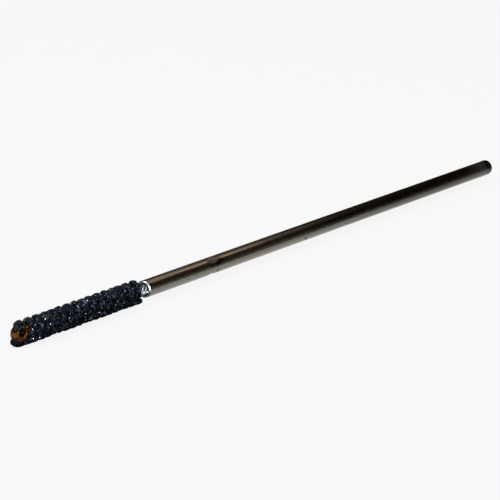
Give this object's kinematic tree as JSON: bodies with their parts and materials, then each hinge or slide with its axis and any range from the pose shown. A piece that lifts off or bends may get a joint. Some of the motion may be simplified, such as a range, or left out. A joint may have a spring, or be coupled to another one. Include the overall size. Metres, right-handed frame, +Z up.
{
  "type": "abrasive bore brush",
  "caption": "Flexible bore hone: abrasive globules on nylon filaments in a twisted wire stem, crimped into a long steel tube shank, with a resin-locked eye at the tip.",
  "frame": {"origin": "on the axis, at the middle of the 50 mm of shank at the tail that a chuck grips", "axes": "+X along the axis, out of the shank's tail, so the eye at the tip is at -X; +Z up, across the upper side of the eye"},
  "size_m": [0.2296, 0.0066, 0.0066],
  "materials": {
    "drawn_steel": "drawn and oiled steel tube, glossy and dark",
    "zinc_coated_wire": "zinc-coated steel wire, bright",
    "amber_resin": "cured phenolic resin, amber and glossy",
    "nylon_filament": "extruded nylon filament, dark and smooth",
    "abrasive_globule": "silicon carbide grit bound in resin, rough and near black with bright grains"
  },
  "bodies": {
    "root": {"shank_tube": "drawn_steel", "stem_wire_near": "zinc_coated_wire", "stem_wire_far": "zinc_coated_wire", "tip_resin": "amber_resin", "filaments_01": "nylon_filament", "filaments_02": "nylon_filament", "filaments_03": "nylon_filament", "filaments_04": "nylon_filament", "filaments_05": "nylon_filament", "filaments_06": "nylon_filament", "filaments_07": "nylon_filament", "filaments_08": "nylon_filament", "globules_a_01": "abrasive_globule", "globules_a_02": "abrasive_globule", "globules_a_03": "abrasive_globule", "globules_a_04": "abrasive_globule", "globules_a_05": "abrasive_globule", "globules_a_06": "abrasive_globule", "globules_a_07": "abrasive_globule", "globules_a_08": "abrasive_globule", "globules_b_01": "abrasive_globule", "globules_b_02": "abrasive_globule", "globules_b_03": "abrasive_globule", "globules_b_04": "abrasive_globule", "globules_b_05": "abrasive_globule", "globules_b_06": "abrasive_globule", "globules_b_07": "abrasive_globule", "globules_b_08": "abrasive_globule"}
  },
  "joints": []
}
